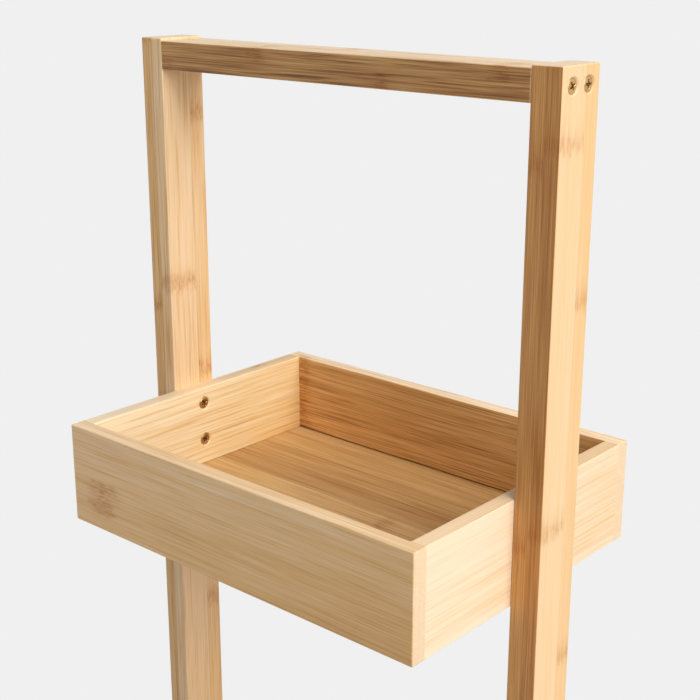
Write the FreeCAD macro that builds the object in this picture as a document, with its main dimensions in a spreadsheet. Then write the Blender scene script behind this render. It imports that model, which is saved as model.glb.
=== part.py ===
"""Three-tier bamboo storage caddy.

Two uprights carry three open trays, one above the other, and a handle bar joins the upright tops.
X runs along the trays, Y from the front to the back and Z up. The origin is on the floor, under the middle.
"""
import FreeCAD, Part
import os
import re
import Sketcher
from FreeCAD import Placement, Rotation, Vector

# Driving dimensions in millimetres: name, value, what it measures
SIZES = (
    ("tray_length", 300.0, "tray outside, from one upright to the other"),
    ("tray_depth", 225.0, "tray outside, front to back"),
    ("tray_height", 70.0, "tray wall, bottom edge to rim"),
    ("wall_thick", 11.0, "tray wall"),
    ("tray_pitch", 325.0, "one tray to the next"),
    ("handle_rise", 252.0, "upper tray's rim to the upright tops"),
    ("upright_thick", 20.0, "upright, along the tray"),
    ("upright_width", 37.0, "upright and handle bar, front to back"),
    ("bar_height", 19.0, "handle bar, top to bottom"),
    ("bar_drop", 1.5, "handle bar's top below the upright tops"),
    ("edge_round", 0.8, "eased edges of the boards"),
    ("panel_thick", 5.0, "tray base panel"),
    ("panel_rise", 6.0, "base panel's underside above the wall's bottom edge"),
    ("groove_depth", 5.0, "groove for the base panel, into the wall"),
    ("groove_play", 1.1, "long walls' groove height over the panel's thickness"),
    ("end_groove_play", 0.3, "end walls' groove height over the panel's thickness"),
    ("panel_gap", 1.0, "panel's edge to the groove's bottom, room to swell"),
    ("screw_core", 5.0, "screw shank diameter"),
    ("screw_head", 10.0, "screw head diameter"),
    ("screw_tip", 5.0, "screw point's length"),
    ("screw_sink", 0.3, "screw head's top below the wood"),
    ("screw_clear", 0.1, "radial clearance round a screw"),
    ("screw_end_gap", 1.0, "screw point to the hole's bottom"),
    ("recess_length", 5.4, "cross recess in a screw head, end to end"),
    ("recess_width", 1.3, "cross recess, width of an arm"),
    ("recess_depth", 1.7, "cross recess, depth"),
    ("tray_screw_cover", 6.0, "wood of the upright left past a tray screw's point"),
    ("tray_screw_drop", 12.0, "upper tray screw below the rim"),
    ("tray_screw_spacing", 28.5, "one tray screw to the next"),
    ("handle_screw_bite", 30.0, "handle screw's reach into the bar"),
    ("handle_screw_spacing", 16.0, "one handle screw to the next"),
    ("dowel_thick", 6.0, "corner dowel diameter"),
    ("dowel_bite", 17.0, "corner dowel's reach into the end wall"),
    ("dowel_cover", 4.0, "wood of the long wall left past a dowel"),
    ("dowel_inset", 20.0, "dowels from the wall's top and bottom edges"),
    ("dowel_clear", 0.1, "radial clearance round a dowel"),
    ("dowel_end_gap", 0.5, "dowel's end to the hole's bottom"),
    ("pad_round", 8.0, "foot pad diameter"),
    ("pad_height", 2.5, "foot pad, floor to wood"),
    ("pad_inset", 25.0, "foot pad's middle from the wall's end"),
)
NAME = re.compile(r"\b(%s)\b" % "|".join(name for name, value, note in SIZES))

# Sizes that follow from the driving ones
INSIDE_LENGTH = "(tray_length - 2 * wall_thick)"
INSIDE_DEPTH = "(tray_depth - 2 * wall_thick)"
GROOVE_HEIGHT = "(panel_thick + groove_play)"
END_GROOVE_HEIGHT = "(panel_thick + end_groove_play)"
PANEL_OVERLAP = "(groove_depth - panel_gap)"
UPRIGHT_LENGTH = "(2 * tray_pitch + tray_height + handle_rise)"
HANDLE_LEVEL = "(bar_drop + bar_height / 2)"
SCREW_HOLE = "(screw_core + 2 * screw_clear)"
COUNTERSINK = "(screw_head + 2 * (screw_clear + screw_sink))"
TRAY_SCREW_LENGTH = "(wall_thick + upright_thick - tray_screw_cover - screw_sink)"
TRAY_SCREW_PILOT = "(upright_thick - tray_screw_cover + screw_end_gap)"
TRAY_SCREW_LEVEL = "(tray_height - tray_screw_drop - tray_screw_spacing / 2)"
HANDLE_SCREW_LENGTH = "(upright_thick + handle_screw_bite - screw_sink)"
DOWEL_HOLE = "(dowel_thick + 2 * dowel_clear)"
DOWEL_IN_WALL = "(wall_thick - dowel_cover)"
DOWEL_SPACING = "(tray_height - 2 * dowel_inset)"
DOWEL_MIDDLE = f"({INSIDE_DEPTH} / 2 - (dowel_bite - {DOWEL_IN_WALL}) / 2)"
CORNER_SPAN = "(tray_length - wall_thick)"

TIERS = ("lower", "middle", "upper")
FOLDER = "parts"
ROUGH = 10.0  # half size of a sketch before its constraints shape it
NEAR = 1e-6
HALF_TURN = Rotation(Vector(0, 0, 1), 180)
SCREW_HEAD_ANGLE = 90.0

doc = FreeCAD.newDocument("storage_caddy")


def make_sheet():
    """The driving dimensions, one row each: name, value, note."""
    sheet = doc.addObject("Spreadsheet::Sheet", "Sizes")
    for row, (name, value, note) in enumerate(SIZES, start=1):
        sheet.set(f"A{row}", name)
        sheet.set(f"B{row}", str(value))
        sheet.set(f"C{row}", note)
        sheet.setAlias(f"B{row}", name)
    doc.recompute()


def bind(thing, prop, formula):
    """Ties a property to a formula of the sheet's names."""
    thing.setExpression(prop, NAME.sub(r"Sizes.\1", formula))


def make_body(label, turned=False, **place):
    """An empty body whose origin sits at the given formulas, turned half round Z if asked."""
    body = doc.addObject("PartDesign::Body", label)
    body.Label = label
    if turned:
        body.Placement = Placement(Vector(), HALF_TURN)
    for axis, formula in place.items():
        bind(body, f"Placement.Base.{axis}", formula)
    return body


def origin_feature(body, role):
    return next(feature for feature in body.Origin.OriginFeatures if feature.Role == role)


def make_sketch(body, name, plane, **offset):
    """A sketch on one of the body's own planes, moved in its own axes by the given formulas."""
    sketch = body.newObject("Sketcher::SketchObject", f"{body.Label}_{name}_sketch")
    sketch.AttachmentSupport = [(origin_feature(body, plane), "")]
    sketch.MapMode = "FlatFace"
    for axis, formula in offset.items():
        bind(sketch, f"AttachmentOffset.Base.{axis}", formula)
    return sketch


def dimension(sketch, name, formula, *constraint):
    """A named dimension of a sketch, tied to a formula."""
    index = sketch.addConstraint(Sketcher.Constraint(*constraint))
    sketch.renameConstraint(index, name)
    bind(sketch, f"Constraints.{name}", formula)


def closed_lines(sketch, points):
    """A closed outline of straight lines through the points."""
    for start, end in zip(points, points[1:] + points[:1]):
        sketch.addGeometry(Part.LineSegment(start, end), False)
    for line in range(len(points)):
        after = (line + 1) % len(points)
        sketch.addConstraint(Sketcher.Constraint("Coincident", line, 2, after, 1))


def rectangle(sketch, width, height):
    """A rectangle centred on the sketch's origin."""
    corners = [Vector(x * ROUGH, y * ROUGH, 0) for x, y in ((-1, -1), (1, -1), (1, 1), (-1, 1))]
    closed_lines(sketch, corners)
    for line, direction in enumerate(("Horizontal", "Vertical", "Horizontal", "Vertical")):
        sketch.addConstraint(Sketcher.Constraint(direction, line))
    sketch.addConstraint(Sketcher.Constraint("Symmetric", 0, 1, 1, 2, -1, 1))
    dimension(sketch, "width", width, "DistanceX", 0, 1, 0, 2, 2 * ROUGH)
    dimension(sketch, "height", height, "DistanceY", 1, 1, 1, 2, 2 * ROUGH)


def circle(sketch, diameter):
    """A circle centred on the sketch's origin."""
    sketch.addGeometry(Part.Circle(Vector(), Vector(0, 0, 1), ROUGH), False)
    sketch.addConstraint(Sketcher.Constraint("Coincident", 0, 3, -1, 1))
    dimension(sketch, "diameter", diameter, "Diameter", 0, 2 * ROUGH)


def circle_pair(sketch, along, spacing, diameter):
    """Two equal circles on the sketch's x or y axis, centred on its origin."""
    step = Vector(ROUGH, 0, 0) if along == "x" else Vector(0, ROUGH, 0)
    axis = -1 if along == "x" else -2
    for middle in (-step, step):
        sketch.addGeometry(Part.Circle(middle, Vector(0, 0, 1), ROUGH / 2), False)
    sketch.addConstraint(Sketcher.Constraint("PointOnObject", 0, 3, axis))
    sketch.addConstraint(Sketcher.Constraint("Symmetric", 0, 3, 1, 3, -1, 1))
    sketch.addConstraint(Sketcher.Constraint("Equal", 0, 1))
    dimension(sketch, "spacing", spacing, f"Distance{along.upper()}", 0, 3, 1, 3, 2 * ROUGH)
    dimension(sketch, "diameter", diameter, "Diameter", 0, ROUGH)


def extrude(body, name, kind, sketch, length):
    """A Pad or Pocket of the whole length, half to each side of its sketch."""
    feature = body.newObject(f"PartDesign::{kind}", f"{body.Label}_{name}")
    feature.Profile = sketch
    feature.SideType = "Symmetric"
    bind(feature, "Length", length)
    return feature


def cut(body, make_feature):
    """Makes a feature that removes wood, and stops if it removes none."""
    doc.recompute()
    before = body.Shape.Volume
    feature = make_feature()
    doc.recompute()
    if body.Shape.Volume > before - NEAR:
        raise RuntimeError(f"{feature.Label} cuts nothing")


def board(body, plane, width, height, thickness, eased):
    """A plain board with the edges rounded whose middles pass the test."""
    sketch = make_sketch(body, "outline", plane)
    rectangle(sketch, width, height)
    blank = extrude(body, "blank", "Pad", sketch, thickness)
    doc.recompute()
    names = [f"Edge{i}" for i, edge in enumerate(blank.Shape.Edges, start=1) if eased(edge.CenterOfMass)]
    fillet = body.newObject("PartDesign::Fillet", f"{body.Label}_eased_edges")
    fillet.Base = (blank, names)
    bind(fillet, "Radius", "edge_round")


def slot(body, name, plane, width, height, length, **offset):
    """A groove with a rectangular section."""
    sketch = make_sketch(body, name, plane, **offset)
    rectangle(sketch, width, height)
    cut(body, lambda: extrude(body, name, "Pocket", sketch, length))


def drill_pair(body, name, plane, along, spacing, diameter, depth=None, sink=None, reverse=False, **offset):
    """Two like holes. They go right through with no depth, and get a countersink where sink is given."""
    sketch = make_sketch(body, name, plane, **offset)
    circle_pair(sketch, along, spacing, diameter)

    def make_hole():
        hole = body.newObject("PartDesign::Hole", f"{body.Label}_{name}")
        hole.Profile = sketch
        hole.ThreadType = "None"
        hole.Reversed = reverse
        hole.DepthType = "Dimension" if depth else "ThroughAll"
        hole.DrillPoint = "Flat"
        bind(hole, "Diameter", diameter)
        if depth:
            bind(hole, "Depth", depth)
        if sink:
            hole.HoleCutType = "Countersink"
            hole.HoleCutCustomValues = True
            hole.HoleCutCountersinkAngle = SCREW_HEAD_ANGLE
            bind(hole, "HoleCutDiameter", sink)
        return hole

    cut(body, make_hole)


def repeat(body, originals, spans):
    """Copies features once along each axis role in spans, by its formula."""
    pattern = body.newObject("PartDesign::LinearPattern", f"{body.Label}_copies")
    pattern.Originals = originals
    for suffix, (role, span) in zip(("", "2"), spans.items()):
        setattr(pattern, f"Direction{suffix}", (origin_feature(body, role), [""]))
        setattr(pattern, f"Occurrences{suffix}", 2)
        bind(pattern, f"Length{suffix}", span)
    body.Tip = pattern


def make_upright(label, x, turned):
    """An upright. Before it is turned, its inner face looks along +X."""
    middle = f"pad_height + {UPRIGHT_LENGTH} / 2"
    body = make_body(label, turned, x=x, z=middle)
    board(body, "XY_Plane", "upright_thick", "upright_width", UPRIGHT_LENGTH, lambda middle: True)
    for level, tier in enumerate(TIERS):
        drill_pair(body, f"{tier}_pilots", "YZ_Plane", "y", "tray_screw_spacing", SCREW_HOLE,
                   depth=TRAY_SCREW_PILOT, z="upright_thick / 2",
                   y=f"{level} * tray_pitch + {TRAY_SCREW_LEVEL} - {UPRIGHT_LENGTH} / 2")
    drill_pair(body, "handle_holes", "YZ_Plane", "x", "handle_screw_spacing", SCREW_HOLE,
               sink=COUNTERSINK, reverse=True, z="-upright_thick / 2",
               y=f"{UPRIGHT_LENGTH} / 2 - {HANDLE_LEVEL}")
    return body


def make_handle_bar():
    """The bar between the upright tops, with all its edges eased."""
    body = make_body("handle_bar", z=f"pad_height + {UPRIGHT_LENGTH} - {HANDLE_LEVEL}")
    board(body, "YZ_Plane", "upright_width", "bar_height", "tray_length", lambda middle: True)
    for side, sign, reverse in (("left", "-", True), ("right", "", False)):
        drill_pair(body, f"{side}_pilots", "YZ_Plane", "x", "handle_screw_spacing", SCREW_HOLE,
                   depth="handle_screw_bite + screw_end_gap", reverse=reverse, z=f"{sign}tray_length / 2")
    return body


def ease_rim(body):
    """Rounds a long wall's inner top edge between the end walls, so that the rim's corners stay flat."""
    sketch = make_sketch(body, "rim_ease", "YZ_Plane", x="wall_thick / 2", y="tray_height / 2")
    on_top = Vector(-ROUGH, 0, 0)
    on_face = Vector(0, -ROUGH, 0)
    middle = Vector(-ROUGH, -ROUGH, 0)
    bulge = middle + Vector(1, 1, 0).normalize() * ROUGH
    sketch.addGeometry(Part.LineSegment(on_top, Vector()), False)
    sketch.addGeometry(Part.LineSegment(Vector(), on_face), False)
    sketch.addGeometry(Part.Arc(on_face, bulge, on_top), False)
    for rule in (
        ("Coincident", 0, 2, -1, 1), ("Coincident", 1, 1, -1, 1), ("Horizontal", 0), ("Vertical", 1),
        ("Coincident", 2, 1, 1, 2), ("Coincident", 2, 2, 0, 1),
        ("Horizontal", 2, 3, 1, 2), ("Vertical", 2, 3, 0, 1),
    ):
        sketch.addConstraint(Sketcher.Constraint(*rule))
    dimension(sketch, "radius", "edge_round", "Radius", 2, ROUGH)
    cut(body, lambda: extrude(body, "rim_ease", "Pocket", sketch, INSIDE_LENGTH))


def make_long_wall(label, y, bottom, turned):
    """A front or back wall, the tray's full length. Before it is turned, its inner face looks along +Y."""
    body = make_body(label, turned, y=y, z=f"{bottom} + tray_height / 2")
    board(body, "XZ_Plane", "tray_length", "tray_height", "wall_thick", lambda middle: middle.y < NEAR)
    ease_rim(body)
    slot(body, "panel_groove", "YZ_Plane", "2 * groove_depth", GROOVE_HEIGHT,
         f"{INSIDE_LENGTH} + 2 * groove_depth",
         x="wall_thick / 2", y=f"panel_rise + {GROOVE_HEIGHT} / 2 - tray_height / 2")
    for side, sign in (("left", "-"), ("right", "")):
        drill_pair(body, f"{side}_dowel_holes", "XZ_Plane", "y", DOWEL_SPACING, DOWEL_HOLE,
                   depth=f"{DOWEL_IN_WALL} + dowel_end_gap", reverse=True,
                   x=f"{sign}{CORNER_SPAN} / 2", z="-wall_thick / 2")
    return body


def make_end_wall(label, x, bottom, turned):
    """A left or right wall, between the long ones. Before it is turned, its inner face looks along +X."""
    body = make_body(label, turned, x=x, z=f"{bottom} + tray_height / 2")
    board(body, "YZ_Plane", INSIDE_DEPTH, "tray_height", "wall_thick", lambda middle: abs(middle.y) < NEAR)
    slot(body, "panel_groove", "XZ_Plane", "2 * groove_depth", END_GROOVE_HEIGHT, INSIDE_DEPTH,
         x="wall_thick / 2", y=f"panel_rise + {END_GROOVE_HEIGHT} / 2 - tray_height / 2")
    drill_pair(body, "screw_holes", "YZ_Plane", "y", "tray_screw_spacing", SCREW_HOLE, sink=COUNTERSINK,
               y=f"{TRAY_SCREW_LEVEL} - tray_height / 2", z="wall_thick / 2")
    for side, sign, reverse in (("front", "", False), ("back", "-", True)):
        drill_pair(body, f"{side}_dowel_holes", "XZ_Plane", "y", DOWEL_SPACING, DOWEL_HOLE,
                   depth="dowel_bite + dowel_end_gap", reverse=reverse, z=f"{sign}{INSIDE_DEPTH} / 2")
    return body


def make_base_panel(label, bottom):
    """A tray's base, lying on the lower side of the grooves."""
    body = make_body(label, z=f"{bottom} + panel_rise + panel_thick / 2")
    sketch = make_sketch(body, "outline", "XY_Plane")
    rectangle(sketch, f"{INSIDE_LENGTH} + 2 * {PANEL_OVERLAP}", f"{INSIDE_DEPTH} + 2 * {PANEL_OVERLAP}")
    extrude(body, "sheet", "Pad", sketch, "panel_thick")
    return body


def make_dowels(label, bottom):
    """A tray's corner dowels, a pair one above the other in each corner."""
    body = make_body(label, z=bottom)
    ends = []
    for end, sign in (("front", ""), ("back", "-")):
        sketch = make_sketch(body, end, "XZ_Plane", x=f"-{CORNER_SPAN} / 2", y="dowel_inset",
                             z=f"{sign}{DOWEL_MIDDLE}")
        circle(sketch, "dowel_thick")
        ends.append(extrude(body, end, "Pad", sketch, f"{DOWEL_IN_WALL} + dowel_bite"))
    repeat(body, ends, {"Z_Axis": DOWEL_SPACING, "X_Axis": CORNER_SPAN})
    return body


def make_screw_pair(label, length, role, spacing, turned, **place):
    """Two countersunk cross-head screws. Before they are turned, the heads look along +X."""
    body = make_body(label, turned, **place)
    profile = make_sketch(body, "profile", "XZ_Plane")
    closed_lines(profile, [
        Vector(0, 0, 0), Vector(0, ROUGH, 0), Vector(-ROUGH / 2, ROUGH / 2, 0),
        Vector(-2 * ROUGH, ROUGH / 2, 0), Vector(-3 * ROUGH, 0, 0),
    ])
    for rule in (("Coincident", 0, 1, -1, 1), ("Vertical", 0), ("Horizontal", 2), ("Horizontal", 4)):
        profile.addConstraint(Sketcher.Constraint(*rule))
    head_height = "(screw_head - screw_core) / 2"
    dimension(profile, "head_radius", "screw_head / 2", "DistanceY", 0, 1, 0, 2, ROUGH)
    dimension(profile, "core_radius", "screw_core / 2", "DistanceY", 0, 1, 1, 2, ROUGH / 2)
    dimension(profile, "head_height", head_height, "DistanceX", 1, 2, 1, 1, ROUGH / 2)
    dimension(profile, "tip", "screw_tip", "DistanceX", 4, 1, 3, 1, ROUGH)
    dimension(profile, "length", length, "DistanceX", 4, 1, 4, 2, 3 * ROUGH)
    shank = body.newObject("PartDesign::Revolution", f"{label}_shank")
    shank.Profile = profile
    shank.ReferenceAxis = (profile, ["H_Axis"])
    shank.Angle = 360
    doc.recompute()
    arms = []
    for name, width, height in (
        ("flat_arm", "recess_length", "recess_width"), ("tall_arm", "recess_width", "recess_length"),
    ):
        sketch = make_sketch(body, name, "YZ_Plane")
        rectangle(sketch, width, height)
        arms.append(extrude(body, name, "Pocket", sketch, "2 * recess_depth"))
    repeat(body, [shank] + arms, {role: spacing})
    return body


def make_foot_pads():
    """Four round pads under the ends of the lowest tray's long walls."""
    wall_middles = "(tray_depth - wall_thick)"
    pad_span = "(tray_length - 2 * pad_inset)"
    body = make_body("foot_pads", x=f"-{pad_span} / 2", y=f"-{wall_middles} / 2", z="pad_height / 2")
    sketch = make_sketch(body, "outline", "XY_Plane")
    circle(sketch, "pad_round")
    pad = extrude(body, "disc", "Pad", sketch, "pad_height")
    repeat(body, [pad], {"X_Axis": pad_span, "Y_Axis": wall_middles})
    return body


def make_tray(tier, bottom):
    """One tray: four walls, base, corner dowels and the screws that hold it to the uprights."""
    name = f"{tier}_tray"
    wall_y = "(tray_depth - wall_thick) / 2"
    wall_x = f"{CORNER_SPAN} / 2"
    lower_screw = f"{bottom} + {TRAY_SCREW_LEVEL} - tray_screw_spacing / 2"
    head_x = f"{INSIDE_LENGTH} / 2 + screw_sink"
    pieces = [
        make_long_wall(f"{name}_front_wall", f"-{wall_y}", bottom, False),
        make_long_wall(f"{name}_back_wall", wall_y, bottom, True),
        make_base_panel(f"{name}_base_panel", bottom),
        make_dowels(f"{name}_dowels", bottom),
    ]
    for side, sign, turned in (("left", "-1", False), ("right", "1", True)):
        pieces += [
            make_end_wall(f"{name}_{side}_wall", f"{sign} * {wall_x}", bottom, turned),
            make_screw_pair(f"{name}_{side}_screws", TRAY_SCREW_LENGTH, "Z_Axis", "tray_screw_spacing", turned,
                            x=f"{sign} * ({head_x})", z=lower_screw),
        ]
    return pieces


def make_frame():
    """The uprights, the handle bar and its screws."""
    upright_x = "(tray_length + upright_thick) / 2"
    head_x = "tray_length / 2 + upright_thick - screw_sink"
    handle_z = f"pad_height + {UPRIGHT_LENGTH} - {HANDLE_LEVEL}"
    pieces = [make_handle_bar()]
    for side, sign, turned in (("left", "-1", False), ("right", "1", True)):
        first_y = "handle_screw_spacing / 2" if side == "left" else "-handle_screw_spacing / 2"
        pieces += [
            make_upright(f"{side}_upright", f"{sign} * {upright_x}", turned),
            make_screw_pair(f"handle_{side}_screws", HANDLE_SCREW_LENGTH, "Y_Axis", "handle_screw_spacing",
                            not turned, x=f"{sign} * ({head_x})", y=first_y, z=handle_z),
        ]
    return pieces


def check(pieces):
    """Stops if any object failed, or a piece has no sound shape."""
    for thing in doc.Objects:
        if "Invalid" in thing.State or "Error" in thing.State:
            raise RuntimeError(f"{thing.Label} failed: {thing.State}")
    for piece in pieces:
        if piece.Shape.isNull() or not piece.Shape.isValid():
            raise RuntimeError(f"{piece.Label} has no sound shape")


def write(pieces):
    os.makedirs(FOLDER, exist_ok=True)
    for piece in pieces:
        piece.Shape.exportStep(os.path.join(FOLDER, f"{piece.Label}.step"))


def main():
    make_sheet()
    pieces = make_frame() + [make_foot_pads()]
    for level, tier in enumerate(TIERS):
        pieces += make_tray(tier, f"(pad_height + {level} * tray_pitch)")
    doc.recompute()
    check(pieces)
    write(pieces)
    for piece in pieces:
        box = piece.Shape.BoundBox
        print(f"{piece.Label}: {len(piece.Shape.Solids)} solids, {box.XLength:.1f} x {box.YLength:.1f} x "
              f"{box.ZLength:.1f} mm, {piece.Shape.Volume:.1f} mm3")


main()
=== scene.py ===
"""Three-tier bamboo storage caddy: lacquered boards, turned screws and feet, and a plain studio stage."""

from typing import NamedTuple

import bpy
import numpy as np
from bpy.props import FloatProperty, FloatVectorProperty, PointerProperty
from mathutils import Matrix, Vector


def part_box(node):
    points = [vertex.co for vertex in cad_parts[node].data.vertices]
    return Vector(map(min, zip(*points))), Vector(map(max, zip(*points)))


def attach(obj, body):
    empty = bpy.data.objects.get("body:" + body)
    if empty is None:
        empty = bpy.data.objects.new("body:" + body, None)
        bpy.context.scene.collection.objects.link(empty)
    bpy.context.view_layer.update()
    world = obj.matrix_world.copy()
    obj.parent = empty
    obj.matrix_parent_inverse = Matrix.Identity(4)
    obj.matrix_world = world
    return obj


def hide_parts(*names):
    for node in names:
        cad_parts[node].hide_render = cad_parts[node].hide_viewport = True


bl_info = {
    "name": "Bamboo storage caddy",
    "version": (1, 0, 0),
    "blender": (4, 5, 0),
    "location": "3D View > Sidebar > Caddy",
    "description": "Finishes the three-tier bamboo caddy and sets it on a studio stage",
    "category": "Object",
}

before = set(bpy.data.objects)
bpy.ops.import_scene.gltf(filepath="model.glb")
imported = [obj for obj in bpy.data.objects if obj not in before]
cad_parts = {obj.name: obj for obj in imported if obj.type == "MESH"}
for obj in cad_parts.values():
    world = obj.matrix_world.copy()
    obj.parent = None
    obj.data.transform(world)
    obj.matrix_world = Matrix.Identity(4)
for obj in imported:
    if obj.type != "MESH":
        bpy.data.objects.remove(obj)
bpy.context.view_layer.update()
TIERS = ("lower", "middle", "upper")
SCREW_LOW, SCREW_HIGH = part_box("handle_left_screws")

# A board's grain, strips and plies: rows give the directions along the fibres, across the strips, and out
# through the plies to the side that faces the viewer
GRAIN = {
    "long_wall": Matrix(((1, 0, 0), (0, 0, 1), (0, -1, 0))),
    "end_wall": Matrix(((0, 1, 0), (0, 0, 1), (1, 0, 0))),
    "upright": Matrix(((0, 0, 1), (0, -1, 0), (1, 0, 0))),
    "flat": Matrix(((1, 0, 0), (0, 1, 0), (0, 0, 1))),
}

# How strips follow from one another: the share of a strip's width and that of the knuckles' spacing by
# which the back ply is moved on, how far the noise moves on for each strip, ply and seed, and how far the
# tone turns round its spread from strip to strip
PLY_SHIFT = 0.45
PLY_STEP = 0.45
STRIP_SHIFT = (17.3, 23.7, 91.0)
STRIP_TURN = 0.73
# How far a tray's drawing is moved on from that of the tray above it: its knuckles, in metres, and its seed
KNUCKLE_STRIDE = 0.071
SEED_STRIDE = 1.37

# The middle of noise, of a strip and of the way from knuckle to knuckle, and the tone of plain honey
MIDDLE = 0.5
HONEY_TONE = 0.5
# How squarely a face has to look along a direction before it counts as facing it, and to count fully
FACING_FROM, FACING_FULL = 0.7, 0.95
# Noise from which a pattern starts to show, and at which it is full: flecks in a knuckle, fibres that take a
# knuckle's stain, fibres and streaks together that make a vein, and shiny fibres
FLECK_FROM, FLECK_FULL = 0.49, 0.6
STAIN_FROM, STAIN_FULL = 0.35, 0.65
VEIN_FROM, VEIN_FULL = 1.08, 1.3
SHINE_FROM, SHINE_FULL = 0.3, 0.7
# Shares of a knuckle's height: how far from its middle the blush has gone and is full, and where along the
# board from there the stain starts and is full
BLUSH_GONE, BLUSH_FULL = 0.65, 0.05
RISE_FROM, RISE_FULL = -0.4, 0.1
# Shares of the pores' spacing from a pore's middle, where its dark starts to fade and has gone
PORE_DARK, PORE_GONE = 0.1, 0.9
# Strengths of a knuckle's blush, flecks and stain, of the pores, and of the colour of sawn ends
BLUSH_STRENGTH = 0.24
FLECK_STRENGTH = 0.42
STAIN_STRENGTH = 0.6
PORE_STRENGTH = 0.07
SAWN_STRENGTH = 0.8
# Roughness of the lacquer over dull and over shiny fibres
DULL_FIBRE, SHINY_FIBRE = 0.52, 0.4

# Colour sockets of the Mix node
MIX_A, MIX_B, MIX_OUT = 6, 7, 2


class Board(NamedTuple):
    """How one board's bamboo is drawn. Places are in metres from the board's middle."""
    node: str
    grain: str
    tone: float  # from 0, pale, through honey to 1, caramel
    spread: float  # how far the strips differ in tone
    seed: float  # moves the drawing on; its fraction places the first strip's tone within the spread
    strip_edge: float  # place of the first strip's low edge
    knuckle: float  # place of the first strip's knuckle
    spacing: float  # from one knuckle to the next
    step: float  # share of the spacing by which knuckles move on from strip to strip
    ply_turn: float = 0.15  # how far the tone turns round its spread from ply to ply
    figure: float = 1.0  # strength of the grain's drawing
    edge: float = 0.0  # how much darker a strip's narrow edge is than its face, partly the strips' own colour and partly painted light and shade: lighter tray rims, darker fronts on the bar and the right upright
    ply_line: float = 0.0  # place of the glue line between the plies
    seam: float = 0.05  # strength of the glue lines
    vein: float = 0.2  # strength of the dark veins
    knot: float = 1.0  # size of the knuckles
    freckle: float = 1.0  # strength of the knuckles
    light: float | tuple = 1.0  # multiplies the board's colours
    edge_colour_and_light: tuple = (1.0, 1.0, 1.0)  # multiplies the colour of the strips' narrow edges, partly painted light: it lightens the right wall's rim and warms the right upright's fronts
    edge_figure: float = 1.0  # multiplies the figure on the strips' narrow edges
    painted_light_gradient: float = 0.0  # how much the tone rises in each metre along the fibres: a painted gradient of light and shade


def linear(code):
    """Linear colour of an sRGB hex value."""
    encoded = np.array([int(code[i:i + 2], 16) for i in (0, 2, 4)]) / 255
    return np.where(encoded <= 0.04045, encoded / 12.92, ((encoded + 0.055) / 1.055) ** 2.4).tolist()


def size(name, description, default):
    """A length that a user may change, in metres."""
    return FloatProperty(name=name, description=description, default=default, unit="LENGTH", precision=5)


def tint(name, description, code):
    """A colour that a user may change."""
    return FloatVectorProperty(name=name, description=description, default=linear(code), size=3,
                               min=0.0, max=1.0, subtype="COLOR")


def share(name, description, default):
    """A share or a strength that a user may change."""
    return FloatProperty(name=name, description=description, default=default, subtype="FACTOR")


def power(name, description, default):
    """A lamp's strength that a user may change, in watts."""
    return FloatProperty(name=name, description=description, default=default, unit="POWER")


class BambooSettings(bpy.types.PropertyGroup):
    """Strips, fibres and colours of the laminated bamboo."""
    pale: tint("Pale", "The palest strips", "F0D8B8")
    honey: tint("Honey", "Strips of a middling tone", "E0B274")
    caramel: tint("Caramel", "The darkest strips and streaks", "A8713A")
    amber: tint("Amber", "What a knuckle's blush and stain leave of the wood's colour", "E1C49C")
    russet: tint("Russet", "What a knuckle's flecks leave of the wood's colour", "C89C6C")
    brown: tint("Brown", "Pores, veins and glue lines", "70441F")
    sawn: tint("Sawn", "Ends that the saw cut across the grain", "DBC3A3")
    strip_width: size("Strip width", "Width of one strip on a board's face", 0.0245)
    fibre_width: size("Fibre width", "Width of one fibre, drawn about twice as coarse as it is", 0.0007)
    fibre_length: size("Fibre length", "How far a fibre runs before it fades", 0.055)
    streak_width: size("Streak width", "Width of a streak of darker fibres", 0.0024)
    streak_length: size("Streak length", "How far a streak runs", 0.09)
    shade_width: size("Shade width", "Width of the slow changes of tone", 0.010)
    shade_length: size("Shade length", "Length of the slow changes of tone", 0.16)
    seam_width: size("Seam width", "Width of a glue line, drawn wider than it is so that it shows", 0.0005)
    knuckle_height: size("Knuckle height", "How far a knuckle's flecks spread along the strip", 0.016)
    rag_length: size("Rag length", "How far along the strip a knuckle's ragged edge changes", 0.0125)
    rag_width: size("Rag width", "How far across the strip a knuckle's ragged edge changes", 0.004)
    fleck_length: size("Fleck length", "Length of a fleck in a knuckle", 0.0045)
    fleck_width: size("Fleck width", "Width of a fleck in a knuckle", 0.0009)
    pore_spacing: size("Pore spacing", "Distance between pores on a sawn end", 0.0011)
    stain_length: size("Stain length", "How far the stain beside a knuckle runs", 0.018)
    fibre_contrast: share("Fibre contrast", "How much single fibres differ in tone", 0.82)
    streak_contrast: share("Streak contrast", "How much streaks differ in tone", 0.38)
    shade_contrast: share("Shade contrast", "How much the tone wanders along a strip", 0.26)


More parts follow.
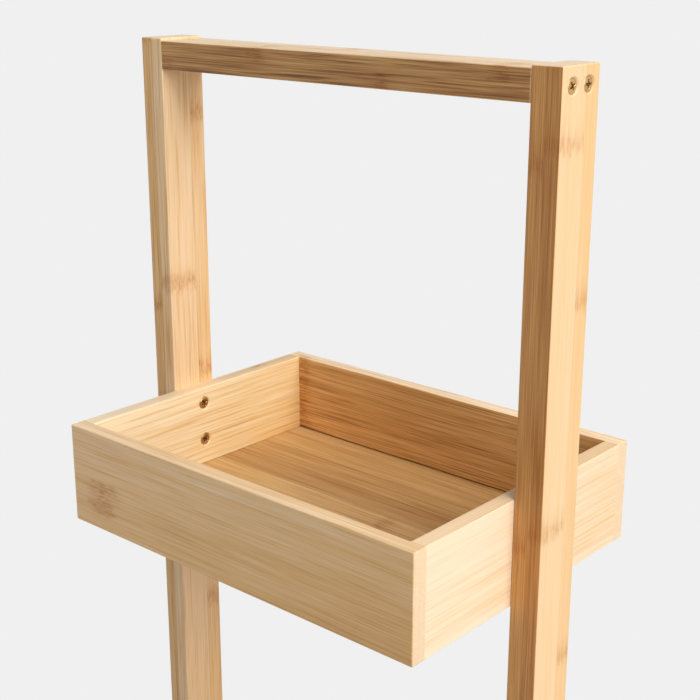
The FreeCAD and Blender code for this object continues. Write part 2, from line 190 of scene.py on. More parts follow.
class FittingSettings(bpy.types.PropertyGroup):
    """Screws, dowels and feet."""
    head: size("Head diameter", "Diameter of a countersunk screw head", SCREW_HIGH.z - SCREW_LOW.z)
    gap: size("Head gap", "Gap round a head in its seat", 0.0001)
    thread: size("Thread diameter", "Outer diameter of the screw thread", 0.0049)
    core: size("Core diameter", "Diameter of the screw between its threads", 0.0034)
    pitch: size("Thread pitch", "Distance from one thread to the next", 0.0022)
    point: size("Point", "Length of the screw's point", 0.005)
    wing: size("Recess wing", "Length of a wing of the cross recess, from the middle", 0.0027)
    slit: size("Recess slit", "Half the width of a wing of the cross recess", 0.00065)
    drive: size("Recess depth", "Depth of the cross recess in the middle", 0.0017)
    patch: size("Patch size", "Size of the patches of film on a screw", 0.002)
    pad: size("Pad diameter", "Diameter of a foot pad", 0.008)
    grit: size("Grit", "Size of the grit on the foot pads, drawn coarse enough to show", 0.0004)
    ray_length: size("Ray length", "Length of a dark fleck along a dowel", 0.008)
    ray_width: size("Ray width", "Width of a dark fleck on a dowel", 0.0011)
    plating: tint("Plating", "Yellow plating of the screws", "DBB174")
    # The dulled plating is a real brown film in patches, and also the painted shade in the screws' recesses
    # and at their rims
    dulled_and_shade: tint("Dulled plating", "Brown film on the plating, thickest in the hollows", "573F29")
    rubber: tint("Rubber", "Foot pads", "2A2826")
    dust: tint("Dust", "Pale bloom on the rubber's grit", "7C7976")
    beech: tint("Beech", "Dowels", "D9B98C")
    ray: tint("Ray", "Dark flecks on the dowels", "A07C59")


class StageSettings(bpy.types.PropertyGroup):
    """Backdrop, lamps and camera."""
    backdrop: tint("Backdrop", "Floor and background", "F0F0F0")
    sky: share("Sky", "Strength of the even light from all round", 0.12)
    key: power("Key", "Strength of the large soft lamp on the right", 3880.0)
    top: power("Top", "Strength of the large soft lamp overhead", 44.0)
    fill: power("Fill", "Strength of the soft lamp in front", 1.2)
    lens: FloatProperty(name="Lens", description="Focal length", default=67.59, unit="CAMERA")
    stand: FloatVectorProperty(name="Stand", description="Where the camera stands", size=3,
                               default=(0.5498, -0.6172, 1.0366), subtype="TRANSLATION", unit="LENGTH")
    turn: FloatProperty(name="Turn", description="How far the camera stands round to the right of the front",
                        default=np.radians(41.451), subtype="ANGLE")
    tilt: FloatProperty(name="Tilt", description="How far the camera looks down",
                        default=np.radians(17.234), subtype="ANGLE")


class CaddySettings(bpy.types.PropertyGroup):
    """All settings of the caddy."""
    bamboo: PointerProperty(type=BambooSettings)
    fittings: PointerProperty(type=FittingSettings)
    stage: PointerProperty(type=StageSettings)


def add(tree, kind, sockets=(), **settings):
    """Adds a shader node. A socket takes a value, an output, or a node, whose first output is linked."""
    made = tree.nodes.new("ShaderNode" + kind)
    for name, value in settings.items():
        setattr(made, name, value)
    for key, value in dict(sockets).items():
        if isinstance(value, bpy.types.Node):
            value = value.outputs[0]
        if isinstance(value, bpy.types.NodeSocket):
            tree.links.new(value, made.inputs[key])
        else:
            made.inputs[key].default_value = value
    return made


def new_material(name):
    """An empty node material and its tree."""
    material = bpy.data.materials.new(name)
    material.use_nodes = True
    material.node_tree.nodes.clear()
    return material, material.node_tree


def fibres(tree, grain, shift, length, width):
    """Noise whose grains are about length along the board and width across it, moved on for each strip."""
    stretched = add(tree, "VectorMath", {0: grain, 1: (1 / length, 1 / width, 1 / width), 2: shift},
                    operation="MULTIPLY_ADD")
    return add(tree, "TexNoise", {"Vector": stretched, "Scale": 1.0, "Detail": 2.0})


def looks_along(tree, normal, direction):
    """1 on faces that look along a direction, either way, and 0 on the rest."""
    facing = add(tree, "VectorMath", {0: normal, 1: direction}, operation="DOT_PRODUCT")
    facing = add(tree, "Math", {0: facing.outputs["Value"]}, operation="ABSOLUTE")
    return add(tree, "MapRange", {"Value": facing, "From Min": FACING_FROM, "From Max": FACING_FULL})


def bamboo(board, look):
    """Bamboo, split into strips, glued up in two plies, sanded and lacquered.

    The eye sees fine fibres along the board, in pale, honey and caramel tones that change from strip to
    strip, thin glue lines, a freckled brown knuckle across each strip now and then, pores on the sawn ends,
    and a satin sheen.
    """
    material, tree = new_material("Bamboo_lacquered_" + board.node)
    turn = GRAIN[board.grain]
    low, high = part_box(board.node)
    start = turn @ ((low + high) / 2) + Vector((board.knuckle, board.strip_edge, board.ply_line))
    place = add(tree, "TexCoord")
    grain = add(tree, "Mapping", {"Vector": place.outputs["Object"], "Location": -start,
                                  "Rotation": turn.to_euler()})
    along, across, through = add(tree, "SeparateXYZ", {0: grain}).outputs

    # Which strip of which ply a point is in. The back ply's joints are moved on from those in front.
    back = add(tree, "Math", {0: through, 1: 0.0}, operation="LESS_THAN")
    cell = add(tree, "Math", {0: across, 1: 1 / look.strip_width}, operation="MULTIPLY")
    cell = add(tree, "Math", {0: back, 1: PLY_SHIFT, 2: cell}, operation="MULTIPLY_ADD")
    strip = add(tree, "Math", {0: cell}, operation="FLOOR")
    tag = add(tree, "CombineXYZ", {"X": strip, "Y": back, "Z": board.seed})
    shift = add(tree, "VectorMath", {0: tag, 1: STRIP_SHIFT}, operation="MULTIPLY")

    # Tone: the strip's own, which turns round its spread from strip to strip, with a painted gradient of
    # light and shade along the board, and with shades, streaks and fibres. The strips' narrow edges have a
    # figure of their own, and a tone that is partly their own and partly painted light and shade.
    turned = add(tree, "Math", {0: back, 1: board.ply_turn, 2: board.seed}, operation="MULTIPLY_ADD")
    turned = add(tree, "Math", {0: strip, 1: STRIP_TURN, 2: turned}, operation="MULTIPLY_ADD")
    turned = add(tree, "Math", {0: turned}, operation="FRACT")
    layers = ((look.shade_length, look.shade_width, look.shade_contrast * board.figure),
              (look.streak_length, look.streak_width, look.streak_contrast * board.figure),
              (look.fibre_length, look.fibre_width, look.fibre_contrast * board.figure))
    # Painted light and shade: the tone changes steadily along the board, so that one end of a wall looks
    # lighter
    start_tone = board.tone - board.spread / 2 + board.painted_light_gradient * board.knuckle
    tone = add(tree, "Math", {0: along, 1: board.painted_light_gradient, 2: start_tone}, operation="MULTIPLY_ADD")
    tone = add(tree, "Math", {0: turned, 1: board.spread, 2: tone}, operation="MULTIPLY_ADD")
    edge = looks_along(tree, place.outputs["Normal"], turn[1])
    sawn = looks_along(tree, place.outputs["Normal"], turn[0])
    # Edge tone: partly the strips' own, partly painted light and shade that lightens rims and darkens fronts
    tone = add(tree, "Math", {0: edge, 1: board.edge, 2: tone}, operation="MULTIPLY_ADD")
    drawn = [fibres(tree, grain, shift, length, width) for length, width, contrast in layers]
    for noise, (length, width, contrast) in zip(drawn, layers):
        strength = add(tree, "Math", {0: edge, 1: contrast * (board.edge_figure - 1), 2: contrast},
                       operation="MULTIPLY_ADD")
        swing = add(tree, "Math", {0: noise, 1: MIDDLE}, operation="SUBTRACT")
        tone = add(tree, "Math", {0: swing, 1: strength, 2: tone}, operation="MULTIPLY_ADD")
    streak, fibre = drawn[1:]
    blond = add(tree, "MapRange", {"Value": tone, "From Min": 0.0, "From Max": HONEY_TONE})
    dark = add(tree, "MapRange", {"Value": tone, "From Min": HONEY_TONE, "From Max": 1.0})

    # Distance along the strip from its nearest knuckle, made ragged
    phase = add(tree, "Math", {0: back, 1: PLY_STEP, 2: MIDDLE}, operation="MULTIPLY_ADD")
    phase = add(tree, "Math", {0: strip, 1: -board.step, 2: phase}, operation="MULTIPLY_ADD")
    phase = add(tree, "Math", {0: along, 1: 1 / board.spacing, 2: phase}, operation="MULTIPLY_ADD")
    phase = add(tree, "Math", {0: phase}, operation="FRACT")
    reach = look.knuckle_height * board.knot
    offset = add(tree, "Math", {0: phase, 1: board.spacing, 2: -(board.spacing + reach) / 2},
                 operation="MULTIPLY_ADD")
    ragged = fibres(tree, grain, shift, look.rag_length, look.rag_width)
    offset = add(tree, "Math", {0: ragged, 1: reach, 2: offset}, operation="MULTIPLY_ADD")

    # A blush with darker flecks in the knuckle, and a streaky stain that fades away above it
    apart = add(tree, "Math", {0: offset}, operation="ABSOLUTE")
    near = add(tree, "MapRange", {"Value": apart, "From Min": BLUSH_GONE * reach,
                                  "From Max": BLUSH_FULL * reach}, interpolation_type="SMOOTHSTEP")
    whole = add(tree, "Math", {0: 1.0, 1: sawn}, operation="SUBTRACT")
    near = add(tree, "Math", {0: near, 1: whole}, operation="MULTIPLY")
    speck = fibres(tree, grain, shift, look.fleck_length, look.fleck_width)
    fleck = add(tree, "MapRange", {"Value": speck, "From Min": FLECK_FROM, "From Max": FLECK_FULL,
                                   "To Max": FLECK_STRENGTH * board.freckle})
    fleck = add(tree, "Math", {0: near, 1: fleck}, operation="MULTIPLY")
    blush = add(tree, "Math", {0: near, 1: BLUSH_STRENGTH * board.freckle}, operation="MULTIPLY")
    rise = add(tree, "MapRange", {"Value": offset, "From Min": RISE_FROM * reach,
                                  "From Max": RISE_FULL * reach})
    fade = add(tree, "MapRange", {"Value": offset, "From Min": 0.0, "From Max": look.stain_length,
                                  "To Min": 1.0, "To Max": 0.0}, interpolation_type="SMOOTHSTEP")
    stain = add(tree, "Math", {0: rise, 1: fade}, operation="MULTIPLY")
    stripes = add(tree, "MapRange", {"Value": fibre, "From Min": STAIN_FROM, "From Max": STAIN_FULL,
                                     "To Max": STAIN_STRENGTH})
    stain = add(tree, "Math", {0: stain, 1: stripes}, operation="MULTIPLY")

    # Glue lines between strips and between plies
    inside = add(tree, "Math", {0: cell}, operation="FRACT")
    inside = add(tree, "Math", {0: inside, 1: MIDDLE}, operation="SUBTRACT")
    inside = add(tree, "Math", {0: inside}, operation="ABSOLUTE")
    clear = MIDDLE - look.seam_width / look.strip_width
    side_seam = add(tree, "MapRange", {"Value": inside, "From Min": clear, "From Max": MIDDLE,
                                       "To Max": board.seam})
    depth = add(tree, "Math", {0: through}, operation="ABSOLUTE")
    ply_seam = add(tree, "MapRange", {"Value": depth, "From Max": look.seam_width, "To Min": board.seam,
                                      "To Max": 0.0})
    seam = add(tree, "Math", {0: side_seam, 1: ply_seam}, operation="MAXIMUM")

    # Thin dark veins where fibres crowd in a streak, and pores on faces that the saw cut across the grain
    vein = add(tree, "Math", {0: streak, 1: fibre}, operation="ADD")
    vein = add(tree, "MapRange", {"Value": vein, "From Min": VEIN_FROM, "From Max": VEIN_FULL,
                                  "To Max": board.vein})
    pore = add(tree, "VectorMath", {0: grain, 1: (0, 1 / look.pore_spacing, 1 / look.pore_spacing)},
               operation="MULTIPLY")
    pore = add(tree, "TexVoronoi", {"Vector": pore, "Scale": 1.0})
    pore = add(tree, "MapRange", {"Value": pore.outputs["Distance"], "From Min": PORE_DARK,
                                  "From Max": PORE_GONE, "To Min": PORE_STRENGTH, "To Max": 0.0})
    pore = add(tree, "Math", {0: sawn, 1: pore}, operation="MULTIPLY")
    cut = add(tree, "Math", {0: sawn, 1: SAWN_STRENGTH}, operation="MULTIPLY")

    pale, honey, caramel, brown = (np.array(colour) * board.light
                                   for colour in (look.pale, look.honey, look.caramel, look.brown))
    wood = (*pale, 1)
    for factor, colour in ((blond, honey), (dark, caramel), (vein, brown), (cut, look.sawn), (seam, brown),
                           (pore, brown)):
        wood = add(tree, "Mix", {"Factor": factor, MIX_A: wood, MIX_B: (*colour, 1)},
                   data_type="RGBA").outputs[MIX_OUT]
    # The narrow edges' colour is partly their own and partly painted light that lightens the right wall's rim
    # and warms the right upright's fronts
    for factor, colour in ((stain, look.amber), (blush, look.amber), (fleck, look.russet),
                           (edge, board.edge_colour_and_light)):
        wood = add(tree, "Mix", {"Factor": factor, MIX_A: wood, MIX_B: (*colour, 1)}, data_type="RGBA",
                   blend_type="MULTIPLY").outputs[MIX_OUT]
    gloss = add(tree, "MapRange", {"Value": fibre, "From Min": SHINE_FROM, "From Max": SHINE_FULL,
                                   "To Min": DULL_FIBRE, "To Max": SHINY_FIBRE})
    height = add(tree, "Math", {0: seam, 1: -1.0, 2: fibre}, operation="MULTIPLY_ADD")
    bump = add(tree, "Bump", {"Strength": 0.25, "Distance": 0.0003, "Height": height})
    shader = add(tree, "BsdfPrincipled", {"Base Color": wood, "Roughness": gloss, "IOR": 1.5, "Normal": bump,
                                          "Specular IOR Level": 0.3, "Coat Weight": 0.1,
                                          "Coat Roughness": 0.3})
    add(tree, "OutputMaterial", {"Surface": shader})
    return material


def dress(board, look):
    """Gives a packed board its own bamboo."""
    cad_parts[board.node].material_slots[0].material = bamboo(board, look)


def closed_turning(rings, ends):
    """Vertices and faces of a surface through a stack of rings (an n by m by 3 array), with a pole at each
    end.

    Neighbouring rings are joined by quads and each end ring by a fan of triangles. The faces are turned
    round if the volume that they enclose comes out negative.
    """
    count, around = rings.shape[:2]
    points = np.concatenate([rings.reshape(-1, 3), ends])
    here = np.arange(around)
    after = (here + 1) % around
    row = np.arange(count - 1)[:, None] * around
    corners = [row + here, row + after, row + around + after, row + around + here]
    quads = np.stack(corners, -1).reshape(-1, 4)
    last = (count - 1) * around
    fans = np.concatenate([np.stack([after, here, np.full(around, count * around)], -1),
                           np.stack([last + here, last + after, np.full(around, count * around + 1)], -1)])
    triangles = np.concatenate([quads[:, [0, 1, 2]], quads[:, [0, 2, 3]], fans])
    a, b, c = (points[triangles[:, k]] - points.mean(0) for k in range(3))
    if (a * np.cross(b, c)).sum() < 0:
        quads, fans = quads[:, ::-1], fans[:, ::-1]
    return points, quads.tolist() + fans.tolist()


def new_piece(name, solids, material, nodes, crease):
    """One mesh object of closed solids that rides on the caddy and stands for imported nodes."""
    points, faces, first = [], [], 0
    for solid_points, solid_faces in solids:
        points.append(solid_points)
        faces += [[first + i for i in face] for face in solid_faces]
        first += len(solid_points)
    mesh = bpy.data.meshes.new(name)
    mesh.from_pydata(np.concatenate(points), [], faces)
    mesh.shade_smooth()
    mesh.set_sharp_from_angle(angle=crease)
    mesh.materials.append(material)
    piece = bpy.data.objects.new(name, mesh)
    bpy.context.scene.collection.objects.link(piece)
    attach(piece, "root")
    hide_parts(*nodes)
    return piece


# A screw's mesh: points round each ring, and rings on the head's face, on the cone under it and per turn of
# the thread
AROUND = 64
FACE_RINGS = 44
CONE_RINGS = 10
RINGS_PER_TURN = 10
# Shares of a screw head's radius: the first ring, how far out the face is flat, how far it falls away beyond
# that, and where the painted shade at its edge starts
FIRST_RING = 0.03
HEAD_FLAT = 0.5
HEAD_FALL = 0.1
HEAD_SHADE = 0.8
# How strong that painted shade is at the edge
RIM_PAINTED_SHADE = 0.5
# How wide the recess's walls slope, as a share of the slit, and how much shallower the wings' ends are
RECESS_SLOPE = 0.3
RECESS_RISE = 0.75
# Half the width of the thread's ridge, as a share of the pitch
RIDGE_HALF = 0.24
# Angle past which neighbouring faces of a screw meet in a sharp edge
SCREW_CREASE = np.radians(35)
# How each screw was left turned by the screwdriver, in radians
SPIN = 0.5
SPIN_PER_GROUP = 0.7
SPIN_PER_SCREW = 1.1


def screw(head, tip, spin, fit):
    """A countersunk wood screw with a cross recess, from the middle of its head's face to its tip.

    Rings run from the middle of the face outwards, down the cone under the head, and along the thread to the
    tip. On the face, depth is the recess, full inside a cross whose arms are one slit wide each side and
    shallower along the arms, and outside the flat a fall that grows with the square of the distance. On the
    thread, the radius is the core plus a triangular ridge that goes round once per pitch, and both shrink to
    nothing along the point. Also gives each vertex's painted shade: full in the recess and behind the face,
    and part of it towards the rim.
    """
    around = AROUND
    axis = (tip - head).normalized()
    side = Vector((0, 0, 1))
    up = axis.cross(side)
    length = (tip - head).length
    angle = np.linspace(0, 2 * np.pi, around, endpoint=False)
    rim = fit.head / 2 - fit.gap

    face_edge = 1 - HEAD_FALL
    radius = np.linspace(FIRST_RING, face_edge, FACE_RINGS)[:, None] * rim * np.ones(around)
    x = np.abs(radius * np.cos(angle + spin))
    y = np.abs(radius * np.sin(angle + spin))
    outside = np.maximum(np.minimum(x, y) - fit.slit, np.maximum(x, y) - fit.wing)
    wall = np.clip(0.5 - outside / (RECESS_SLOPE * fit.slit), 0, 1)
    cut = fit.drive * wall * (1 - RECESS_RISE * np.minimum(radius / fit.wing, 1))
    fall = HEAD_FALL * rim * np.clip((radius / rim - HEAD_FLAT) / (face_edge - HEAD_FLAT), 0, 1) ** 2
    face_depth = cut + fall

    neck = rim - fit.core / 2
    cone = np.linspace(HEAD_FALL * rim, neck, CONE_RINGS)[1:, None] * np.ones(around)
    turns = (length - neck) / fit.pitch
    run = np.linspace(neck, length, int(turns * RINGS_PER_TURN), endpoint=False)[1:, None] * np.ones(around)
    ridge = np.clip(1 - np.abs((run / fit.pitch - angle / (2 * np.pi)) % 1 - 0.5) / RIDGE_HALF, 0, 1)
    taper = np.clip((length - run) / fit.point, 0, 1)
    thread = (fit.core + (fit.thread - fit.core) * ridge) / 2 * taper

    radius = np.concatenate([radius, rim - cone, thread])
    depth = np.concatenate([face_depth, cone, run])
    spoke = np.cos(angle)[:, None] * np.array(side) + np.sin(angle)[:, None] * np.array(up)
    rings = np.array(head) + depth[..., None] * np.array(axis) + radius[..., None] * spoke
    # Painted shade: full in the recess and behind the face, and part of it towards the rim of the face
    painted_shade = np.ones(len(rings) * around + 2)
    shaded = RIM_PAINTED_SHADE * np.clip((radius[:FACE_RINGS] / rim - HEAD_SHADE) / (face_edge - HEAD_SHADE), 0, 1)
    painted_shade[:wall.size] = np.maximum(wall, shaded).ravel()
    return closed_turning(rings, np.array([head + axis * fit.drive, tip])), painted_shade


# Noise from which a patch, pale grit or a dark ray shows and at which it is full, and how strong it is
PATCH_FROM, PATCH_FULL, PATCH_STRENGTH = 0.48, 0.72, 0.5
GRIT_FROM, GRIT_FULL, GRIT_STRENGTH = 0.4, 0.9, 0.3
RAY_FROM, RAY_FULL, RAY_STRENGTH = 0.5, 0.75, 0.5
# Roughness of bright plating and of the brown film
BRIGHT_PLATING, FILMED_PLATING = 0.24, 0.5


def yellow_zinc(fit):
    """Steel, zinc plated and passivated yellow.

    The eye sees a pale brassy metal with a soft shine and a brown film in patches, with painted shade in the
    recess and at the rim.
    """
    material, tree = new_material("Steel_yellow_zinc_plated")
    place = add(tree, "TexCoord")
    patch = add(tree, "TexNoise", {"Vector": place.outputs["Object"], "Scale": 1 / fit.patch, "Detail": 3.0})
    film_and_shade = add(tree, "MapRange", {"Value": patch, "From Min": PATCH_FROM, "From Max": PATCH_FULL,
                                  "To Max": PATCH_STRENGTH})
    # The painted shade of the recess and the rim joins the film's patches
    painted_shade = add(tree, "Attribute", attribute_name="painted_shade")
    film_and_shade = add(tree, "Math", {0: film_and_shade, 1: painted_shade.outputs["Fac"]}, operation="MAXIMUM")
    colour = add(tree, "Mix", {"Factor": film_and_shade, MIX_A: (*fit.plating, 1), MIX_B: (*fit.dulled_and_shade, 1)},
                 data_type="RGBA")
    gloss = add(tree, "MapRange", {"Value": film_and_shade, "To Min": BRIGHT_PLATING, "To Max": FILMED_PLATING})
    shader = add(tree, "BsdfPrincipled", {"Base Color": colour.outputs[MIX_OUT], "Metallic": 1.0,
                                          "Roughness": gloss})
    add(tree, "OutputMaterial", {"Surface": shader})
    return material


def moulded_rubber(fit):
    """Rubber, moulded: near black and matt, with a fine grit that breaks up the light."""
    material, tree = new_material("Rubber_moulded")
    place = add(tree, "TexCoord")
    grit = add(tree, "TexNoise", {"Vector": place.outputs["Object"], "Scale": 1 / fit.grit, "Detail": 2.0})
    dust = add(tree, "MapRange", {"Value": grit, "From Min": GRIT_FROM, "From Max": GRIT_FULL,
                                  "To Max": GRIT_STRENGTH})
    colour = add(tree, "Mix", {"Factor": dust, MIX_A: (*fit.rubber, 1), MIX_B: (*fit.dust, 1)},
                 data_type="RGBA")
    bump = add(tree, "Bump", {"Strength": 0.3, "Distance": 0.0001, "Height": grit})
    shader = add(tree, "BsdfPrincipled", {"Base Color": colour.outputs[MIX_OUT], "Roughness": 0.75,
                                          "Normal": bump})
    add(tree, "OutputMaterial", {"Surface": shader})
    return material


def bare_beech(fit):
    """Beech, turned and left bare: pale pinkish tan with short dark flecks along the dowel."""
    material, tree = new_material("Beech_turned")
    place = add(tree, "TexCoord")
    stretched = add(tree, "Mapping", {"Vector": place.outputs["Object"],
                                      "Scale": (1 / fit.ray_width, 1 / fit.ray_length, 1 / fit.ray_width)})
    fleck = add(tree, "TexNoise", {"Vector": stretched, "Scale": 1.0, "Detail": 2.0})
    dark = add(tree, "MapRange", {"Value": fleck, "From Min": RAY_FROM, "From Max": RAY_FULL,
                                  "To Max": RAY_STRENGTH})
    colour = add(tree, "Mix", {"Factor": dark, MIX_A: (*fit.beech, 1), MIX_B: (*fit.ray, 1)},
                 data_type="RGBA")
    bump = add(tree, "Bump", {"Strength": 0.2, "Distance": 0.0002, "Height": fleck})
    shader = add(tree, "BsdfPrincipled", {"Base Color": colour.outputs[MIX_OUT], "Roughness": 0.65,
                                          "Normal": bump})
    add(tree, "OutputMaterial", {"Surface": shader})
    return material


class CADDY_OT_uprights(bpy.types.Operator):
    """Finishes the two uprights in bamboo"""
    bl_idname = "caddy.uprights"
    bl_label = "Uprights"

    def execute(self, context):
        look = context.scene.caddy.bamboo
        dress(Board("left_upright", "upright", tone=0.37, spread=0.35, seed=3.25, strip_edge=-0.0055,
                    knuckle=0.313, spacing=0.19, step=0.366, ply_turn=0.87, figure=0.68, edge=0.02,
                    seam=0.2, edge_figure=1.9), look)
        # The right upright's front and back faces are painted darker and warmer than its sides, as shade and
        # bounce light
        dress(Board("right_upright", "upright", tone=0.34, spread=0.35, seed=8.4, strip_edge=-0.0055,
                    knuckle=0.443, spacing=0.2275, step=0.4, ply_turn=-0.03, figure=0.32, edge=0.58,
                    seam=0.11, vein=0.03, knot=0.8, freckle=0.6, light=0.9,
                    edge_colour_and_light=(1.14, 1.03, 0.9), edge_figure=3.0), look)
        return {"FINISHED"}


class CADDY_OT_handle(bpy.types.Operator):
    """Finishes the handle bar in bamboo"""
    bl_idname = "caddy.handle"
    bl_label = "Handle bar"

    def execute(self, context):
        look = context.scene.caddy.bamboo
        # The bar's front and back faces are painted darker than its top and bottom, as shade
        dress(Board("handle_bar", "flat", tone=0.3, spread=0.3, seed=5.4, strip_edge=-0.022, knuckle=-0.06,
                    spacing=0.19, step=0.3, figure=1.5, edge=0.58, vein=0.9, light=0.86), look)
        return {"FINISHED"}


class CADDY_OT_tray_walls(bpy.types.Operator):
    """Finishes the four walls of each tray in bamboo"""
    bl_idname = "caddy.tray_walls"
    bl_label = "Tray walls"

    def execute(self, context):
        look = context.scene.caddy.bamboo
        for level, tier in enumerate(reversed(TIERS)):
            tray = tier + "_tray_"
            on = KNUCKLE_STRIDE * level
            turn = SEED_STRIDE * level
            # Negative edges paint the walls' rims lighter than their faces; the right wall's colours are
            # darkened and its rim painted lighter again
            dress(Board(tray + "front_wall", "long_wall", tone=0.42, spread=0.2, seed=11.64 + turn,
                        strip_edge=-0.024, knuckle=-0.121 + on, spacing=0.7, step=0.443, figure=0.9,
                        edge=-0.08, vein=0.12, knot=2.2, freckle=1.15, light=0.97, painted_light_gradient=0.4), look)
            dress(Board(tray + "back_wall", "long_wall", tone=0.6, spread=0.12, seed=21.59 + turn,
                        strip_edge=-0.018, knuckle=-0.136 + on, spacing=0.62, step=0.0, figure=1.35,
                        edge=-0.38, vein=0.4, knot=1.1, freckle=1.1, light=1.14), look)
            dress(Board(tray + "left_wall", "end_wall", tone=0.2, spread=0.2, seed=31.5 + turn,
                        strip_edge=-0.0015, knuckle=0.2 + on, spacing=0.43, step=0.13, figure=1.05,
                        vein=0.16, light=(1.0, 1.035, 0.96), edge_colour_and_light=(1.0, 0.97, 1.04),
                        painted_light_gradient=1.8), look)
            dress(Board(tray + "right_wall", "end_wall", tone=0.09, spread=0.2, seed=41.6 + turn,
                        strip_edge=-0.004, knuckle=0.5, spacing=1.5, step=0.0, figure=0.8,
                        edge=0.2, vein=0.03, light=0.89, edge_colour_and_light=(1.13, 1.12, 1.1), painted_light_gradient=0.8), look)
        return {"FINISHED"}


class CADDY_OT_base_panels(bpy.types.Operator):
    """Finishes the base panel of each tray in bamboo"""
    bl_idname = "caddy.base_panels"
    bl_label = "Base panels"

    def execute(self, context):
        look = context.scene.caddy.bamboo
        for level, tier in enumerate(reversed(TIERS)):
            dress(Board(tier + "_tray_base_panel", "flat", tone=0.66, spread=0.3,
                        seed=51.2 + SEED_STRIDE * level, strip_edge=-0.01,
                        knuckle=0.03 + KNUCKLE_STRIDE * level, spacing=0.9, step=0.37, figure=1.0,
                        ply_line=-0.02, knot=0.7, freckle=0.7, light=0.85), look)
        return {"FINISHED"}


class CADDY_OT_screws(bpy.types.Operator):
    """Makes the countersunk screws of the handle and the trays"""
    bl_idname = "caddy.screws"
    bl_label = "Screws"

    def execute(self, context):
        fit = context.scene.caddy.fittings
        zinc = yellow_zinc(fit)
        groups = [("handle", True)] + [(tier + "_tray", False) for tier in TIERS]
        for group, (owner, heads_out) in enumerate(groups):
            for side in ("left", "right"):
                node = f"{owner}_{side}_screws"
                low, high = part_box(node)
                outer, inner = sorted((low.x, high.x), key=abs, reverse=True)
                head_x, tip_x = (outer, inner) if heads_out else (inner, outer)
                inset = Vector((0, fit.head / 2, fit.head / 2))
                made = []
                for turn, corner in enumerate((low + inset, high - inset)):
                    head = Vector((head_x, corner.y, corner.z))
                    tip = Vector((tip_x, corner.y, corner.z))
                    spin = SPIN + SPIN_PER_GROUP * group + SPIN_PER_SCREW * turn
                    made.append(screw(head, tip, spin, fit))
                piece = new_piece(node + "_threaded", [solid for solid, painted_shade in made], zinc,
                                  [node], SCREW_CREASE)
                # Each vertex's painted shade, read by the material
                mark = piece.data.attributes.new("painted_shade", "FLOAT", "POINT")
                mark.data.foreach_set("value", np.concatenate([painted_shade for solid, painted_shade in made]))
        return {"FINISHED"}


class CADDY_OT_dowels(bpy.types.Operator):
    """Finishes the dowels in the tray corners in bare beech"""
    bl_idname = "caddy.dowels"
    bl_label = "Dowels"

    def execute(self, context):
        beech = bare_beech(context.scene.caddy.fittings)
        for tier in TIERS:
            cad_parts[tier + "_tray_dowels"].material_slots[0].material = beech
        return {"FINISHED"}


# A foot pad's profile, from the middle of its dished underside out round its edge and up its tapered side:
# shares of its radius, and shares of its height
PAD_RADIUS = np.array([0.2, 0.55, 0.7, 0.82, 0.92, 0.98, 1.0, 0.97, 0.94, 0.9, 0.5])
PAD_LEVEL = np.array([0.08, 0.08, 0.0, 0.0, 0.04, 0.14, 0.3, 0.7, 0.95, 1.0, 1.0])
# Points round a pad, and the angle past which its faces meet in a sharp edge
PAD_AROUND = 48
PAD_CREASE = np.radians(30)


class CADDY_OT_foot_pads(bpy.types.Operator):
    """Makes the four rubber pads under the lowest tray"""
    bl_idname = "caddy.foot_pads"
    bl_label = "Foot pads"

    def execute(self, context):
        fit = context.scene.caddy.fittings
        low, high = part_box("foot_pads")
        half = fit.pad / 2
        angle = np.linspace(0, 2 * np.pi, PAD_AROUND, endpoint=False)
        radius = PAD_RADIUS * half
        level = PAD_LEVEL * (high.z - low.z)
        solids = []
        for x in (low.x + half, high.x - half):
            for y in (low.y + half, high.y - half):
                rings = np.stack([x + radius[:, None] * np.cos(angle), y + radius[:, None] * np.sin(angle),
                                  low.z + level[:, None] * np.ones(PAD_AROUND)], -1)
                ends = np.array([(x, y, low.z + level[0]), (x, y, high.z)])
                solids.append(closed_turning(rings, ends))
        new_piece("foot_pads_moulded", solids, moulded_rubber(fit), ["foot_pads"], PAD_CREASE)
        return {"FINISHED"}


# How far from the middle the painted floor starts to melt into the backdrop and has gone, in metres, and how
# light its paint is
FLOOR_FROM, FLOOR_GONE = 0.25, 0.7
FLOOR_PAINT = 0.8


def seen_directly(tree):
    """1 for rays that come straight from the camera, or by a mirror or through glass, and 0 for light."""
    path = add(tree, "LightPath")
    seen = add(tree, "Math", {0: path.outputs["Is Camera Ray"], 1: path.outputs["Is Glossy Ray"]},
               operation="MAXIMUM")
    return add(tree, "Math", {0: seen, 1: path.outputs["Is Transmission Ray"]}, operation="MAXIMUM")


def studio_world(stage):
    """Even white light from all round, behind a pale backdrop."""
    world = bpy.data.worlds.new("Studio")
    world.use_nodes = True
    tree = world.node_tree
    tree.nodes.clear()
    light = add(tree, "Background", {"Color": (1, 1, 1, 1), "Strength": stage.sky})
    drop = add(tree, "Background", {"Color": (*stage.backdrop, 1), "Strength": 1.0})
    both = add(tree, "MixShader", {0: seen_directly(tree), 1: light, 2: drop})
    add(tree, "OutputWorld", {"Surface": both})
    return world


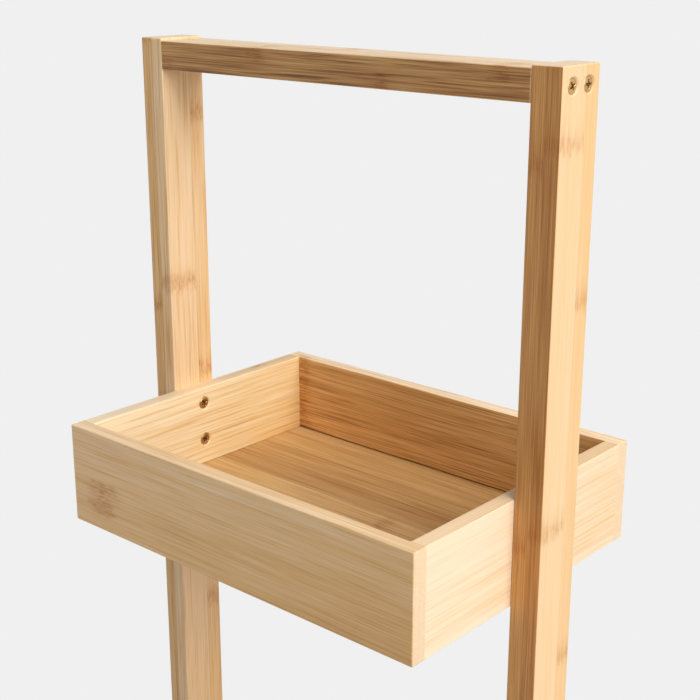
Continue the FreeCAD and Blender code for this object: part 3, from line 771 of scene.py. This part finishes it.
def studio_floor(stage):
    """Painted board, rolled: plain pale grey that takes the caddy's shadow and melts into the backdrop."""
    material, tree = new_material("Painted_floor")
    place = add(tree, "TexCoord")
    away = add(tree, "VectorMath", {0: place.outputs["Object"]}, operation="LENGTH")
    away = add(tree, "MapRange", {"Value": away.outputs["Value"], "From Min": FLOOR_FROM,
                                  "From Max": FLOOR_GONE}, interpolation_type="SMOOTHSTEP")
    far = add(tree, "Math", {0: away, 1: seen_directly(tree)}, operation="MULTIPLY")
    paint = add(tree, "BsdfDiffuse", {"Color": (FLOOR_PAINT, FLOOR_PAINT, FLOOR_PAINT, 1)})
    drop = add(tree, "Emission", {"Color": (*stage.backdrop, 1), "Strength": 1.0})
    both = add(tree, "MixShader", {0: far, 1: paint, 2: drop})
    add(tree, "OutputMaterial", {"Surface": both})
    return material


def lamp(name, watts, across, place, target):
    """A square soft lamp that looks at a target."""
    light = bpy.data.lights.new(name, "AREA")
    light.energy = watts
    light.shape = "SQUARE"
    light.size = across
    made = bpy.data.objects.new(name, light)
    made.location = place
    made.rotation_euler = (target - place).to_track_quat("-Z", "Y").to_euler()
    bpy.context.scene.collection.objects.link(made)
    return made


# Half the floor's width, and the width of the camera's sensor in millimetres
FLOOR_REACH = 8.0
SENSOR = 36.0
# What the lamps look at, and for each lamp its width and its place
AIM = Vector((0, 0, 0.75))
KEY_WIDTH = 16.0
KEY_PLACE = Vector((16.6, -2.3, 8.3))
TOP_WIDTH = 2.0
TOP_PLACE = Vector((1.0, -0.2, 3.1))
FILL_WIDTH = 1.0
FILL_PLACE = Vector((-1.0, -1.2, 0.5))


class CADDY_OT_stage(bpy.types.Operator):
    """Sets the floor, the lamps and the camera"""
    bl_idname = "caddy.stage"
    bl_label = "Stage"

    def execute(self, context):
        scene = context.scene
        stage = scene.caddy.stage
        scene.view_settings.view_transform = "Standard"
        scene.world = studio_world(stage)

        corners = FLOOR_REACH * np.array([(-1, -1, 0), (1, -1, 0), (1, 1, 0), (-1, 1, 0)])
        mesh = bpy.data.meshes.new("floor")
        mesh.from_pydata(corners, [], [[0, 1, 2, 3]])
        mesh.materials.append(studio_floor(stage))
        floor = bpy.data.objects.new("floor", mesh)
        scene.collection.objects.link(floor)

        lamp("key_lamp", stage.key, KEY_WIDTH, KEY_PLACE, AIM)
        lamp("top_lamp", stage.top, TOP_WIDTH, TOP_PLACE, AIM)
        lamp("fill_lamp", stage.fill, FILL_WIDTH, FILL_PLACE, AIM)

        camera = bpy.data.objects.new("camera", bpy.data.cameras.new("camera"))
        camera.data.sensor_width = SENSOR
        camera.data.lens = stage.lens
        camera.location = stage.stand
        camera.rotation_euler = (np.pi / 2 - stage.tilt, 0.0, stage.turn)
        scene.collection.objects.link(camera)
        scene.camera = camera
        return {"FINISHED"}


class CADDY_PT_panel(bpy.types.Panel):
    """Lists the caddy's settings and its steps"""
    bl_idname = "CADDY_PT_panel"
    bl_label = "Bamboo caddy"
    bl_space_type = "VIEW_3D"
    bl_region_type = "UI"
    bl_category = "Caddy"

    def draw(self, context):
        caddy = context.scene.caddy
        for group in (caddy.bamboo, caddy.fittings, caddy.stage):
            box = self.layout.box()
            for name in group.__annotations__:
                box.prop(group, name)
        for step in STEPS:
            self.layout.operator(step.bl_idname)


STEPS = (CADDY_OT_uprights, CADDY_OT_handle, CADDY_OT_tray_walls, CADDY_OT_base_panels, CADDY_OT_screws,
         CADDY_OT_dowels, CADDY_OT_foot_pads, CADDY_OT_stage)
CLASSES = (BambooSettings, FittingSettings, StageSettings, CaddySettings, *STEPS, CADDY_PT_panel)


def register():
    for item in CLASSES:
        bpy.utils.register_class(item)
    bpy.types.Scene.caddy = PointerProperty(type=CaddySettings)


def unregister():
    del bpy.types.Scene.caddy
    for item in reversed(CLASSES):
        bpy.utils.unregister_class(item)


def main():
    register()
    bpy.ops.caddy.uprights()
    bpy.ops.caddy.handle()
    bpy.ops.caddy.tray_walls()
    bpy.ops.caddy.base_panels()
    bpy.ops.caddy.screws()
    bpy.ops.caddy.dowels()
    bpy.ops.caddy.foot_pads()
    bpy.ops.caddy.stage()


if __name__ == "__main__":
    main()
